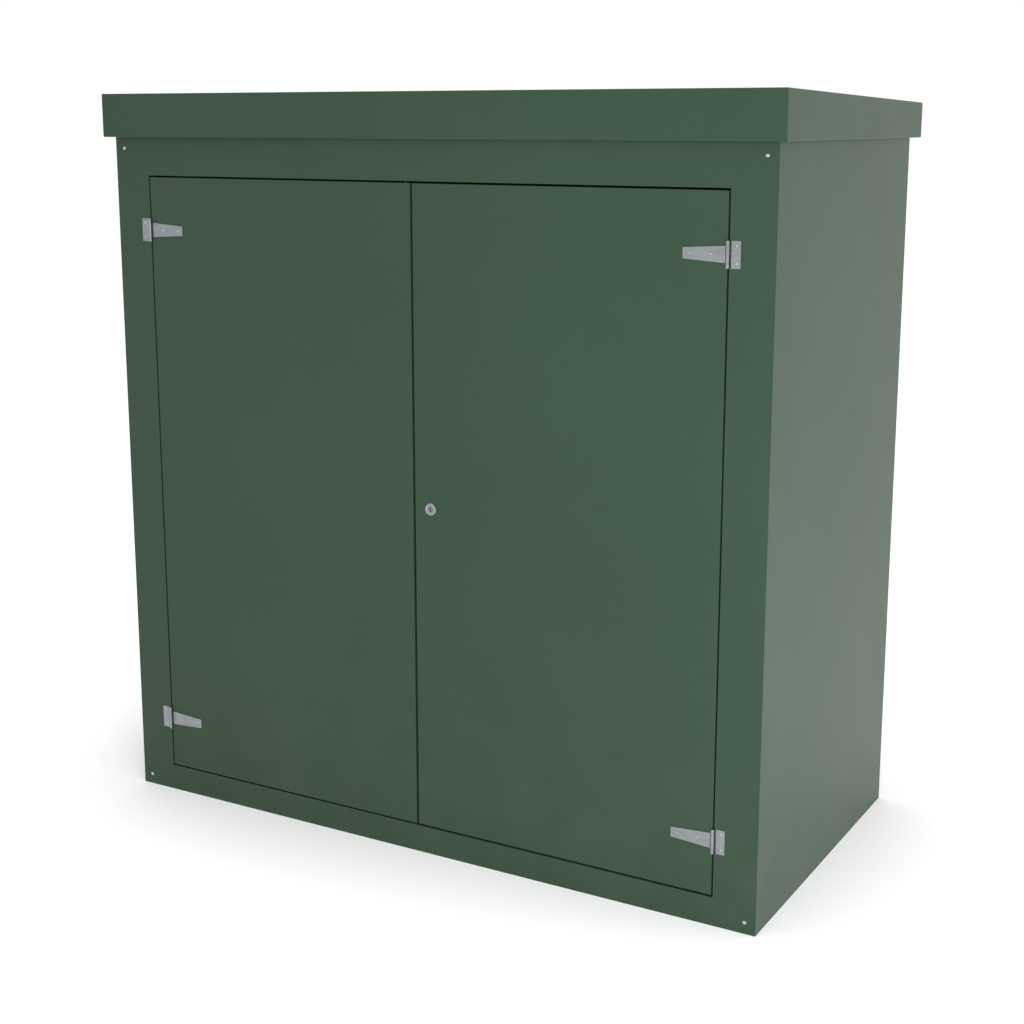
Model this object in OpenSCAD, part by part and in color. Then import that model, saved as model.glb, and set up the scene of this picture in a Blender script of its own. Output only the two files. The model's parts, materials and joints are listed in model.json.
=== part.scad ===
// Fibreglass walk-in enclosure with a pair of outward-opening doors and a capped mono-pitch roof.
// Millimetres. The origin is on the ground, under the middle of the roof; the doors face -Y and +Z is up.

/* [Walls] */
// Width over the side walls
body_w = 2000; // [1400:10:3000]
// Depth over the front frame and the back wall
body_d = 1000; // [700:10:2000]
// Height of the roof skirt's lower edge above the ground
eave_z = 1950; // [1600:10:2500]
// Thickness of the wall panels and of the front frame's face
wall_t = 20; // [14:1:30]

/* [Roof] */
// How far the skirt stands out from the walls
roof_overhang = 25; // [15:1:60]
// Height of the skirt at the front
skirt_h = 120; // [90:1:200]
// Thickness of the skirt
skirt_t = 6; // [4:0.5:12]
// Thickness of the roof panel
roof_t = 20; // [10:1:40]
// How much lower the roof is at the back than at the front
roof_fall = 25; // [10:1:60]

/* [Front frame] */
// Width of the frame beside the door opening
jamb_w = 116.5; // [97:0.5:180]
// Height of the frame between the opening and the skirt
head_h = 106; // [60:1:200]
// Height of the frame under the opening
sill_h = 76.5; // [64:0.5:140]
// Thickness of the rim turned in around the opening
rim_t = 20; // [12:1:30]
// Thickness of the stop that the doors close against
stop_t = 12; // [8:1:20]
// How far the stop reaches into the opening
stop_lap = 20; // [16:1:30]
// Space between a closed door and the stop
seal_space = 6; // [4:0.5:10]
// Width of the door seal
seal_w = 10; // [6:0.5:14]
// Distance from a door's edge to the seal's outer side
seal_edge = 2; // [1:0.5:4]
// Gap left between a closed door and its seal
seal_clear = 0.3; // [0.2:0.1:1]

/* [Doors] */
// Thickness of the doors
door_t = 34; // [26:1:45]
// Gap between a door and the frame
door_gap = 5; // [5:0.5:8]
// Gap between the two doors
meeting_gap = 6; // [6:0.5:9]

/* [Inner angles] */
// Leg of the upright angle in each corner
corner_leg = 50; // [40:1:60]
// Height of the base and top angles' upright leg
rail_rise = 40; // [30:1:42]
// Width of the base and top angles' flat leg
rail_foot = 50; // [40:1:70]
// Thickness of every angle
angle_t = 4; // [3:0.5:8]
// Gap between the end of one angle and the side of the next
angle_gap = 1; // [0.5:0.5:4]

/* [Ground fixings] */
// Radius of each ground fixing hole
anchor_r = 6; // [4:0.5:8]
// Spacing of the two fixing holes along each side
anchor_side_pitch = 600; // [300:10:1200]
// Spacing of the two fixing holes along the front, and of the two along the back
anchor_end_pitch = 1400; // [600:10:2400]

/* [Corner bolts] */
// Radius of a corner bolt's shank
corner_bolt_r = 3; // [2:0.5:4]
// Radius of a corner bolt's domed head
corner_bolt_head_r = 5.5; // [4:0.5:8]
// Height of a corner bolt's domed head
corner_bolt_head_h = 3.2; // [2:0.1:5]
// Width across the flats of a corner bolt's nut
corner_nut_af = 10; // [8:0.5:14]
// Thickness of a corner bolt's nut
corner_nut_t = 5; // [3:0.5:8]
// Gap between a corner bolt's nut and the upright angle's side leg
corner_nut_gap = 1; // [0.5:0.5:6]

/* [Hinges] */
// Distance from the hinge's middle to the opening's upper or lower edge
hinge_inset = 153; // [100:1:300]
// Distance of the pivot in front of the doors' faces
pivot_off = 5.5; // [4.6:0.1:8]
// Outer radius of the knuckles
knuckle_r = 4.5; // [3.6:0.1:5.4]
// Radius of the hinge pin
hinge_pin_r = 2.2; // [1.5:0.1:2.6]
// Radial clearance of the pin in the door's knuckle
pin_clear = 0.08; // [0.03:0.01:0.1]
// Thickness of the hinge leaves
leaf_t = 2; // [1.5:0.1:2.5]
// Height of the fixed leaf
plate_h = 65; // [56:1:90]
// Distance from the pivot to the fixed leaf's outer edge
plate_w = 31.5; // [26:0.5:50]
// Height of the strap at the pivot
strap_base_h = 40; // [30:1:48]
// Height of the strap at its tip
strap_tip_h = 26.5; // [14:0.5:30]
// Distance from the pivot to the strap's tip
strap_len = 115.5; // [104:0.5:180]
// Gap between neighbouring knuckles
knuckle_gap = 0.5; // [0.3:0.1:1]
// Distance from the pivot to the fixed leaf's screws
plate_screw_x = 20.5; // [17:0.5:26]
// Height of the fixed leaf's screws above and below its middle
plate_screw_z = 20.5; // [10:0.5:26]
// Distance from the pivot to the strap's inner screw
strap_screw_near = 44; // [30:1:60]
// Distance from the pivot to the strap's outer screw
strap_screw_far = 98.5; // [70:0.5:108]

/* [Hinge screws] */
// Radius of a screw's shank
screw_r = 2; // [1.5:0.1:2.6]
// Radius of a screw's domed head
screw_head_r = 3.4; // [3:0.1:5]
// Height of a screw's domed head
screw_head_h = 1.8; // [1.2:0.1:3]
// Length of a screw's shank
screw_len = 13; // [8:0.5:13.5]
// Radial clearance round bolts and screws
hole_clear = 0.3; // [0.2:0.1:1]

/* [Lock] */
// Height of the lock above the ground
lock_z = 984; // [500:1:1400]
// Distance from the lock to the door's meeting edge
lock_backset = 50; // [40:1:60]
// Radius of the rose on the door's face
rose_r = 17; // [15:0.5:24]
// Thickness of the rose at its rim
rose_t = 4; // [3:0.5:6]
// Width of the rose's raised rim
rose_rim = 4; // [2:0.5:5]
// Depth of the dish inside the rim
rose_dish = 1.2; // [0.5:0.1:2]
// Radius of the lock's barrel
barrel_r = 12; // [10.5:0.5:14]
// Radius of the plug that the key turns
plug_r = 9; // [7:0.5:9.5]
// Radial clearance of the plug in the barrel
plug_clear = 0.1; // [0.05:0.01:0.15]
// Height of the keyway
keyway_h = 13; // [8:0.5:14]
// Width of the keyway
keyway_w = 2.6; // [1.5:0.1:3]
// Depth of the keyway
keyway_depth = 12; // [6:0.5:20]
// Width across the flats of the barrel's nut
lock_nut_af = 32; // [28:1:40]
// Thickness of the barrel's nut
lock_nut_t = 5; // [3:0.5:6]
// Gap between the barrel and the cam
cam_gap = 0.5; // [0.3:0.1:1]
// Thickness of the cam
cam_t = 4; // [3:0.5:6]
// Width of the cam
cam_w = 24; // [16:1:30]
// Distance from the lock's axis to the cam's tip
cam_len = 80; // [70:1:100]
// Radius of the spindle that carries the cam
spindle_r = 5; // [3:0.5:6]
// Width across the flats of the cam's nut
cam_nut_af = 16; // [12:1:20]
// Thickness of the cam's nut
cam_nut_t = 6; // [4:0.5:8]

/* [Flush bolts] */
// Distance from the bolts to the left door's meeting edge
flush_inset = 23; // [16:0.5:40]
// Radius of a bolt's rod
rod_r = 4; // [3:0.5:5]
// Length of a bolt's rod inside the door
rod_len = 170; // [100:5:400]
// How far a withdrawn rod stands out of the door's edge
rod_stand = 3; // [0:0.5:4]
// How far a bolt slides
rod_travel = 14; // [8:1:20]
// Clearance round a rod in the door
rod_clear = 0.5; // [0.3:0.1:1]
// Clearance round a rod in its keeper hole
keeper_clear = 1; // [0.5:0.1:2]
// Distance from a door's edge to its bolt's knob
knob_inset = 150; // [80:5:300]
// Radius of the knob's stem
stem_r = 3; // [2:0.5:3.5]
// Radius of the knob
knob_r = 7; // [5:0.5:10]
// Thickness of the knob
knob_t = 8; // [5:0.5:12]
// Gap between the knob and its slotted plate
knob_gap = 1.5; // [0.5:0.5:4]
// Thickness of the slotted plate behind the knob
slot_plate_t = 1.5; // [1:0.1:3]
// Margin of the slotted plate round its slot
slot_plate_margin = 8; // [5:0.5:12]

/* [Hidden] */
$fn = 48;

eps = 1; // overshoot of a cut past the face that it opens
front_y = -body_d / 2;
back_y = body_d / 2;
half_w = body_w / 2;

// The roof falls evenly from its front edge to its back edge.
roof_front_y = front_y - roof_overhang;
roof_back_y = back_y + roof_overhang;
roof_edge_x = half_w + roof_overhang;
roof_top_z = eave_z + skirt_h;

// Door opening and the rim and stop behind it
open_x = half_w - jamb_w;
open_z0 = sill_h;
open_z1 = eave_z - head_h;
rim_y0 = front_y + wall_t;
stop_y0 = front_y + door_t + seal_space;
stop_y1 = stop_y0 + stop_t;

// Doors
door_x0 = meeting_gap / 2;
door_x1 = open_x - door_gap;
door_z0 = open_z0 + door_gap;
door_z1 = open_z1 - door_gap;
door_back_y = front_y + door_t;

// Hinge pivots
pivot_x = open_x - door_gap / 2;
pivot_y = front_y - pivot_off;
hinge_z_upper = open_z1 - hinge_inset;
hinge_z_lower = open_z0 + hinge_inset;
web_x = knuckle_r + 3; // where a leaf's flat part begins

// Lock
lock_x = door_x0 + lock_backset;
barrel_end_y = door_back_y + lock_nut_t;
cam_y0 = barrel_end_y + cam_gap;

// Flush bolts
flush_x = -(door_x0 + flush_inset);
flush_y = front_y + door_t / 2;
slot_plate_w = 2 * (stem_r + rod_clear + slot_plate_margin);

// ---------- shared shapes ----------

// A box given by its two opposite corners
module block(low, high) {
    translate(low) cube(high - low);
}

// All the space under the sloping roof panel, from a little under the ground
module roof_space() {
    translate([-roof_edge_x, 0, 0]) rotate([90, 0, 90]) linear_extrude(2 * roof_edge_x)
        polygon([
            [roof_front_y, -roof_edge_x], [roof_back_y, -roof_edge_x],
            [roof_back_y, roof_top_z - roof_fall - roof_t], [roof_front_y, roof_top_z - roof_t]
        ]);
}

// An upright piece from z0 to the underside of the roof
module up_to_roof(x0, x1, y0, y1, z0) {
    intersection() {
        block([x0, y0, z0], [x1, y1, roof_top_z]);
        roof_space();
    }
}

// A piece that hangs a given depth below the underside of the roof
module under_roof(x0, x1, y0, y1, depth) {
    difference() {
        up_to_roof(x0, x1, y0, y1, eave_z - depth);
        translate([0, 0, -depth]) roof_space();
    }
}

// A rod along Y, from y0 to y1
module rod_y(x, z, y0, y1, r) {
    translate([x, y0, z]) rotate([-90, 0, 0]) cylinder(h = y1 - y0, r = r);
}

// A hexagonal prism along Y, from y0 to y1, given across its upright flats
module hex_y(x, z, y0, y1, af) {
    translate([x, y0, z]) rotate([-90, 30, 0]) cylinder(h = y1 - y0, r = af / 2 / cos(30), $fn = 6);
}

// A dome whose flat base lies at y and whose top points to -Y
module dome_y(x, z, y, r, h) {
    ball_r = (r * r + h * h) / (2 * h);
    translate([x, y, z]) rotate([90, 0, 0]) intersection() {
        translate([0, 0, h - ball_r]) sphere(r = ball_r);
        cylinder(h = 2 * h, r = 2 * r);
    }
}

// ---------- walls and front frame ----------

module side_wall() {
    color("darkseagreen")
        up_to_roof(half_w - wall_t, half_w, front_y + wall_t, back_y - wall_t, 0);
}

module back_wall() {
    color("darkseagreen") up_to_roof(-half_w, half_w, back_y - wall_t, back_y, 0);
}

// The frame's face on the right-hand side of the opening
module jamb() {
    color("seagreen") difference() {
        up_to_roof(open_x, half_w, front_y, rim_y0, 0);
        corner_bolt_holes();
        for (z = [hinge_z_upper, hinge_z_lower], side = [-1, 1])
            rod_y(pivot_x + plate_screw_x, z + side * plate_screw_z,
                  front_y - eps, front_y + screw_len + eps - leaf_t, screw_r + hole_clear);
    }
}

module front_head() {
    color("seagreen") difference() {
        up_to_roof(-open_x, open_x, front_y, rim_y0, open_z1);
        keeper_holes();
    }
}

module front_sill() {
    color("seagreen") difference() {
        block([-open_x, front_y, 0], [open_x, rim_y0, open_z0]);
        keeper_holes();
    }
}

// A border round the door opening: out and in are its outer and inner distances from the opening's edge
module opening_border(out, in, y0, y1) {
    difference() {
        block([-open_x - out, y0, open_z0 - out], [open_x + out, y1, open_z1 + out]);
        block([in - open_x, y0 - eps, open_z0 + in], [open_x - in, y1 + eps, open_z1 - in]);
    }
}

// The rim turned in round the opening, behind the frame's face
module door_rim() {
    color("seagreen") difference() {
        opening_border(rim_t, 0, rim_y0, stop_y1);
        keeper_holes();
    }
}

// The stop on the rim, behind the doors' edges
module door_stop() {
    color("seagreen") opening_border(0, stop_lap, stop_y0, stop_y1);
}

// Blind holes in the frame that the flush bolts slide into
module keeper_holes() {
    depth = rod_stand + rod_travel + keeper_clear - door_gap;
    for (z = [open_z0 - depth, open_z1 - eps])
        translate([flush_x, flush_y, z]) cylinder(h = depth + eps, r = rod_r + keeper_clear);
}

module door_seal() {
    seal_in = door_gap + seal_edge + seal_w;
    color("dimgray")
        opening_border(-door_gap - seal_edge, seal_in, door_back_y + seal_clear, stop_y0);
}

// ---------- roof ----------

module roof_cap() {
    in_x = roof_edge_x - skirt_t;
    color("seagreen") difference() {
        translate([-roof_edge_x, 0, 0]) rotate([90, 0, 90]) linear_extrude(2 * roof_edge_x)
            polygon([
                [roof_front_y, eave_z], [roof_back_y, eave_z],
                [roof_back_y, roof_top_z - roof_fall], [roof_front_y, roof_top_z]
            ]);
        up_to_roof(-in_x, in_x, roof_front_y + skirt_t, roof_back_y - skirt_t, eave_z - eps);
    }
}

// ---------- angles inside the walls ----------

// Upright angle in the front right corner, bolted to the front frame
module front_corner_angle() {
    in_x = half_w - wall_t;
    color("silver") difference() {
        union() {
            up_to_roof(in_x - corner_leg, in_x, rim_y0, rim_y0 + angle_t, 0);
            up_to_roof(in_x - angle_t, in_x, rim_y0, rim_y0 + corner_leg, 0);
        }
        corner_bolt_holes();
    }
}

module back_corner_angle() {
    in_x = half_w - wall_t;
    in_y = back_y - wall_t;
    color("silver") {
        union() {
            up_to_roof(in_x - corner_leg, in_x, in_y - angle_t, in_y, 0);
            up_to_roof(in_x - angle_t, in_x, in_y - corner_leg, in_y, 0);
        }
    }
}

rail_end_x = half_w - wall_t - corner_leg - angle_gap; // base and top angles end here, across
rail_end_y = -rim_y0 - corner_leg - angle_gap; // and here, along the depth

// A row of ground fixing holes, given as points
module anchor_holes(points) {
    for (p = points) translate([p.x, p.y, -eps]) cylinder(h = angle_t + 2 * eps, r = anchor_r);
}

anchor_side_x = half_w - wall_t - rail_foot / 2 - angle_t / 2;
anchor_end_y = -rim_y0 - rail_foot / 2 - angle_t / 2;

module base_angle_side() {
    in_x = half_w - wall_t;
    color("silver") difference() {
        union() {
            block([in_x - rail_foot, -rail_end_y, 0], [in_x, rail_end_y, angle_t]);
            block([in_x - angle_t, -rail_end_y, 0], [in_x, rail_end_y, rail_rise]);
        }
        anchor_holes([for (s = [-1, 1]) [anchor_side_x, s * anchor_side_pitch / 2]]);
    }
}

module base_angle_end() {
    in_y = -rim_y0;
    color("silver") difference() {
        union() {
            block([-rail_end_x, in_y - rail_foot, 0], [rail_end_x, in_y, angle_t]);
            block([-rail_end_x, in_y - angle_t, 0], [rail_end_x, in_y, rail_rise]);
        }
        anchor_holes([for (s = [-1, 1]) [s * anchor_end_pitch / 2, anchor_end_y]]);
    }
}

module top_angle_side() {
    in_x = half_w - wall_t;
    color("silver") union() {
        under_roof(in_x - rail_foot, in_x, -rail_end_y, rail_end_y, angle_t);
        under_roof(in_x - angle_t, in_x, -rail_end_y, rail_end_y, rail_rise);
    }
}

// Top angle along the front when side is -1, along the back when side is 1
module top_angle_end(side) {
    wall_y = side * -rim_y0;
    foot_y = wall_y - side * rail_foot;
    web_y = wall_y - side * angle_t;
    color("silver") union() {
        under_roof(-rail_end_x, rail_end_x, min(wall_y, foot_y), max(wall_y, foot_y), angle_t);
        under_roof(-rail_end_x, rail_end_x, min(wall_y, web_y), max(wall_y, web_y), rail_rise);
    }
}

// ---------- corner bolts ----------

corner_bolt_inset = wall_t + angle_t + corner_nut_af / 2 + corner_nut_gap;
corner_bolt_x = half_w - corner_bolt_inset;
corner_bolt_zs = [corner_bolt_inset, eave_z - corner_bolt_inset];

module corner_bolt_holes() {
    for (z = corner_bolt_zs)
        rod_y(corner_bolt_x, z, front_y - eps, rim_y0 + angle_t + eps, corner_bolt_r + hole_clear);
}

module corner_bolt(x, z) {
    nut_y = rim_y0 + angle_t;
    dome_y(x, z, front_y, corner_bolt_head_r, corner_bolt_head_h);
    rod_y(x, z, front_y - corner_bolt_head_h / 2, nut_y + corner_nut_t + 2, corner_bolt_r);
    hex_y(x, z, nut_y, nut_y + corner_nut_t, corner_nut_af);
}

module corner_bolts() {
    color("lightgray") for (side = [-1, 1], z = corner_bolt_zs) corner_bolt(side * corner_bolt_x, z);
}

// ---------- tee hinges, drawn round the pivot of the right-hand door ----------

// Rolled knuckle and its web, as a section; the leaf lies towards side * X
module knuckle_section(side, bore_r) {
    difference() {
        union() {
            circle(r = knuckle_r);
            polygon([
                [0, knuckle_r], [0, knuckle_r - leaf_t],
                [side * web_x, pivot_off - leaf_t], [side * web_x, pivot_off]
            ]);
        }
        circle(r = bore_r);
    }
}

// Fixed leaf with a knuckle at each end
module hinge_plate() {
    knuckle_len = (plate_h - strap_base_h) / 2 - knuckle_gap;
    color("silver") difference() {
        union() {
            block([web_x, pivot_off - leaf_t, -plate_h / 2], [plate_w, pivot_off, plate_h / 2]);
            for (z = [-plate_h / 2, plate_h / 2 - knuckle_len])
                translate([0, 0, z]) linear_extrude(knuckle_len) knuckle_section(1, hinge_pin_r);
        }
        for (side = [-1, 1])
            rod_y(plate_screw_x, side * plate_screw_z, 0, pivot_off + eps, screw_r + hole_clear);
    }
}

// Tapered strap with the middle knuckle
module hinge_strap() {
    color("silver") difference() {
        union() {
            translate([0, pivot_off, 0]) rotate([90, 0, 0]) linear_extrude(leaf_t)
                polygon([
                    [-web_x, -strap_base_h / 2], [-strap_len, -strap_tip_h / 2],
                    [-strap_len, strap_tip_h / 2], [-web_x, strap_base_h / 2]
                ]);
            translate([0, 0, -strap_base_h / 2]) linear_extrude(strap_base_h)
                knuckle_section(-1, hinge_pin_r + pin_clear);
        }
        for (x = [strap_screw_near, strap_screw_far])
            rod_y(-x, 0, 0, pivot_off + eps, screw_r + hole_clear);
    }
}

// Domed screw that holds a leaf at this distance from the pivot
module hinge_screw(x, z) {
    head_y = pivot_off - leaf_t;
    dome_y(x, z, head_y, screw_head_r, screw_head_h);
    rod_y(x, z, head_y - screw_head_h / 2, head_y + screw_len, screw_r);
}

// Puts a hinge part at a pivot: hand is 1 for the right-hand door and -1 for the left
module at_pivot(hand, z) {
    translate([hand * pivot_x, pivot_y, z]) mirror([hand < 0 ? 1 : 0, 0, 0]) children();
}

module hinge_plates(hand) {
    for (z = [hinge_z_upper, hinge_z_lower]) at_pivot(hand, z) hinge_plate();
}

module hinge_pins() {
    color("gray") for (hand = [-1, 1], z = [hinge_z_upper, hinge_z_lower])
        at_pivot(hand, z) translate([0, 0, -plate_h / 2]) cylinder(h = plate_h, r = hinge_pin_r);
}

module hinge_plate_screws() {
    color("lightgray") for (hand = [-1, 1], z = [hinge_z_upper, hinge_z_lower], side = [-1, 1])
        at_pivot(hand, z) hinge_screw(plate_screw_x, side * plate_screw_z);
}

module strap_screws(hand) {
    color("lightgray") for (z = [hinge_z_upper, hinge_z_lower], x = [strap_screw_near, strap_screw_far])
        at_pivot(hand, z) hinge_screw(-x, 0);
}

// ---------- doors ----------

// A door leaf on the right-hand side of the meeting gap, with the strap screws' holes
module door_leaf() {
    difference() {
        block([door_x0, front_y, door_z0], [door_x1, door_back_y, door_z1]);
        for (z = [hinge_z_upper, hinge_z_lower], x = [strap_screw_near, strap_screw_far])
            rod_y(pivot_x - x, z, front_y - eps, front_y + screw_len + eps - leaf_t, screw_r + hole_clear);
    }
}

module right_door() {
    color("seagreen") difference() {
        door_leaf();
        rod_y(lock_x, lock_z, front_y - eps, door_back_y + eps, barrel_r + hole_clear);
    }
}

module left_door() {
    color("seagreen") difference() {
        mirror([1, 0, 0]) door_leaf();
        for (up = [1, -1]) flush_bolt_pocket(up);
    }
}

// ---------- flush bolts of the left door: up is 1 for the top bolt and -1 for the bottom one ----------

function door_edge_z(up) = up > 0 ? door_z1 : door_z0;

// Slot from the rod's bore to the door's back face, as long as the stem's travel
module stem_slot(up, y1) {
    knob_z = door_edge_z(up) - up * knob_inset;
    far_z = knob_z + up * rod_travel;
    r = stem_r + rod_clear;
    block([flush_x - r, flush_y, min(knob_z, far_z) - r], [flush_x + r, y1, max(knob_z, far_z) + r]);
}

module flush_bolt_pocket(up) {
    edge_z = door_edge_z(up);
    end_z = edge_z - up * (rod_len + 2 * rod_clear);
    z0 = min(edge_z, end_z) - (up > 0 ? 0 : eps);
    z1 = max(edge_z, end_z) + (up > 0 ? eps : 0);
    translate([flush_x, flush_y, z0]) cylinder(h = z1 - z0, r = rod_r + rod_clear);
    stem_slot(up, door_back_y + eps);
}

module flush_bolt(up) {
    edge_z = door_edge_z(up);
    rod_z = up > 0 ? edge_z - rod_len : edge_z - rod_stand;
    knob_z = edge_z - up * knob_inset;
    knob_y = door_back_y + slot_plate_t + knob_gap;
    color("lightgray") {
        translate([flush_x, flush_y, rod_z]) cylinder(h = rod_len + rod_stand, r = rod_r);
        rod_y(flush_x, knob_z, flush_y, knob_y + knob_t / 2, stem_r);
        rod_y(flush_x, knob_z, knob_y, knob_y + knob_t, knob_r);
    }
}

module slot_plates() {
    color("silver") for (up = [1, -1]) {
        mid_z = door_edge_z(up) - up * (knob_inset - rod_travel / 2);
        half_h = rod_travel / 2 + slot_plate_w / 2;
        difference() {
            block([flush_x - slot_plate_w / 2, door_back_y, mid_z - half_h],
                  [flush_x + slot_plate_w / 2, door_back_y + slot_plate_t, mid_z + half_h]);
            stem_slot(up, door_back_y + slot_plate_t + eps);
        }
    }
}

// ---------- lock of the right door ----------

module lock_barrel() {
    bore_r = plug_r + plug_clear;
    length = barrel_end_y - front_y;
    color("silver") translate([lock_x, front_y, lock_z]) rotate([-90, 0, 0]) rotate_extrude()
        polygon([
            [bore_r, rose_dish - rose_t], [rose_r - rose_rim, rose_dish - rose_t],
            [rose_r - rose_rim + 1, -rose_t], [rose_r - 1.5, -rose_t],
            [rose_r, 1.5 - rose_t], [rose_r, 0], [barrel_r, 0],
            [barrel_r, length], [bore_r, length]
        ]);
}

module lock_nut() {
    color("silver") difference() {
        hex_y(lock_x, lock_z, door_back_y, barrel_end_y, lock_nut_af);
        rod_y(lock_x, lock_z, door_back_y - eps, barrel_end_y + eps, barrel_r + plug_clear);
    }
}

module lock_plug() {
    face_y = front_y - rose_t + rose_dish;
    color("lightgray") difference() {
        union() {
            rod_y(lock_x, lock_z, face_y, cam_y0, plug_r);
            rod_y(lock_x, lock_z, face_y, cam_y0 + cam_t + cam_nut_t + 1, spindle_r);
        }
        block([lock_x - keyway_w / 2, face_y - eps, lock_z - keyway_h / 2],
              [lock_x + keyway_w / 2, face_y + keyway_depth, lock_z + keyway_h / 2]);
    }
}

// The cam hangs down when the lock is open
module lock_cam() {
    color("silver") difference() {
        union() {
            rod_y(lock_x, lock_z, cam_y0, cam_y0 + cam_t, cam_w / 2);
            block([lock_x - cam_w / 2, cam_y0, lock_z - cam_len],
                  [lock_x + cam_w / 2, cam_y0 + cam_t, lock_z]);
        }
        rod_y(lock_x, lock_z, cam_y0 - eps, cam_y0 + cam_t + eps, spindle_r + plug_clear);
    }
}

module cam_nut() {
    nut_y = cam_y0 + cam_t;
    color("silver") difference() {
        hex_y(lock_x, lock_z, nut_y, nut_y + cam_nut_t, cam_nut_af);
        rod_y(lock_x, lock_z, nut_y - eps, nut_y + cam_nut_t + eps, spindle_r + plug_clear);
    }
}

// ---------- the assembly ----------

module left() {
    mirror([1, 0, 0]) children();
}

module back() {
    mirror([0, 1, 0]) children();
}

left() side_wall();  // left_wall
side_wall();  // right_wall
back_wall();
left() jamb();  // front_left_jamb
jamb();  // front_right_jamb
front_head();
front_sill();
roof_cap();
left() front_corner_angle();  // corner_angle_front_left
front_corner_angle();  // corner_angle_front_right
left() back_corner_angle();  // corner_angle_back_left
back_corner_angle();  // corner_angle_back_right
back() base_angle_end();  // base_angle_front
base_angle_end();  // base_angle_back
left() base_angle_side();  // base_angle_left
base_angle_side();  // base_angle_right
top_angle_end(-1);  // top_angle_front
top_angle_end(1);  // top_angle_back
left() top_angle_side();  // top_angle_left
top_angle_side();  // top_angle_right
corner_bolts();
door_rim();
door_stop();
door_seal();
hinge_plates(-1);  // left_hinge_plates
hinge_plates(1);  // right_hinge_plates
hinge_pins();
hinge_plate_screws();
left_door();
at_pivot(-1, hinge_z_upper) hinge_strap();  // left_strap_upper
at_pivot(-1, hinge_z_lower) hinge_strap();  // left_strap_lower
strap_screws(-1);  // left_strap_screws
slot_plates();
right_door();
at_pivot(1, hinge_z_upper) hinge_strap();  // right_strap_upper
at_pivot(1, hinge_z_lower) hinge_strap();  // right_strap_lower
strap_screws(1);  // right_strap_screws
lock_barrel();
lock_nut();
lock_plug();
lock_cam();
cam_nut();
flush_bolt(1);  // top_flush_bolt
flush_bolt(-1);  // bottom_flush_bolt
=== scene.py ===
"""Looks of the fibreglass walk-in enclosure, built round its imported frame.

Lengths are in metres, in the frame's own axes: +Z up, doors towards -Y, +X to the right of someone facing them.
"""

import json
import logging
import math
from collections.abc import Callable, Iterator, Sequence
from contextlib import contextmanager
from dataclasses import dataclass
from enum import Enum

import bmesh
import bpy
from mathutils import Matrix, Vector


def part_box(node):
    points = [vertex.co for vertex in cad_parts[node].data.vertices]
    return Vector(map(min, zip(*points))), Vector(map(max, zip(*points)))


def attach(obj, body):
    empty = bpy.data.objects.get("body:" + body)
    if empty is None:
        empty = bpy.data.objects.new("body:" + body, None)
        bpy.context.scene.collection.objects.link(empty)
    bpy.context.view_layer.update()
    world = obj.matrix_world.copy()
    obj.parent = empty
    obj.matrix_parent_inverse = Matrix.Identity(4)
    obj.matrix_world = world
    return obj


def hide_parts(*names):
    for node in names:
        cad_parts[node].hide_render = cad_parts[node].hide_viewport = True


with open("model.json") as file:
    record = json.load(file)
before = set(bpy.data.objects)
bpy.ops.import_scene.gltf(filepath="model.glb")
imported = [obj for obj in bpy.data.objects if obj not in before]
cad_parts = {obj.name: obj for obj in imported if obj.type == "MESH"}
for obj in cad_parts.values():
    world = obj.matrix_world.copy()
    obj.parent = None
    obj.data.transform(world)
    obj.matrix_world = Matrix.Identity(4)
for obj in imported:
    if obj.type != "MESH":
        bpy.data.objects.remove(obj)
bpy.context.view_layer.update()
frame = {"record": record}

log = logging.getLogger("enclosure")

Piece = bpy.types.Object
Point = Sequence[float]
MM = 0.001
OVERRUN = 1.0  # how far a large cutting tool runs past what it cuts
SMALL_OVERRUN = 10 * MM  # the same for a small one
SHARP = math.radians(30)  # edges sharper than this are rounded
LATHE_SIDES = 48
ROD_SIDES = 32
DOME_SIDES = 40
KEEPER_SIDES = 24
HEXAGON = 6


class Side(Enum):
    """Which of the two doors something belongs to, with its sign along X."""

    LEFT = -1
    RIGHT = 1

    @property
    def word(self) -> str:
        """The side's name as used in piece and body names."""
        return self.name.lower()


class End(Enum):
    """Upper or lower member of a pair, with its sign along Z."""

    TOP = 1
    BOTTOM = -1


class Pick(Enum):
    """What is selected in edit mode."""

    CORNERS = "VERT"
    FACES = "FACE"


class Joining(Enum):
    """How one closed shape works on another."""

    CUT = "DIFFERENCE"
    WELD = "UNION"


class Slot(Enum):
    """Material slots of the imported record."""

    GELCOAT = "gelcoat"
    ANGLE = "angle_alloy"
    SEAL = "seal_rubber"
    HINGE = "hinge_steel"
    FASTENER = "fastener_steel"
    LOCK = "lock_metal"


# ---------------------------------------------------------------- bench work: selecting, shaping, joining


def select_only(*pieces: Piece) -> None:
    """Select these pieces alone, in object mode, with the first one active.

    Args:
        *pieces: The pieces to select; none clears the selection.
    """
    if bpy.context.object and bpy.context.object.mode != "OBJECT":
        bpy.ops.object.mode_set(mode="OBJECT")
    bpy.ops.object.select_all(action="DESELECT")
    for piece in pieces:
        piece.select_set(True)
    if pieces:
        bpy.context.view_layer.objects.active = pieces[0]


@contextmanager
def editing(piece: Piece, pick: Pick = Pick.FACES) -> Iterator[None]:
    """Edit mode on one piece, with nothing selected.

    Args:
        piece: The piece to edit.
        pick: What is selected in it.

    Yields:
        Nothing; edit mode ends when the block does.
    """
    select_only(piece)
    bpy.ops.object.mode_set(mode="EDIT")
    bpy.ops.mesh.select_mode(type=pick.value)
    bpy.ops.mesh.select_all(action="DESELECT")
    yield
    bpy.ops.object.mode_set(mode="OBJECT")


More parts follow.
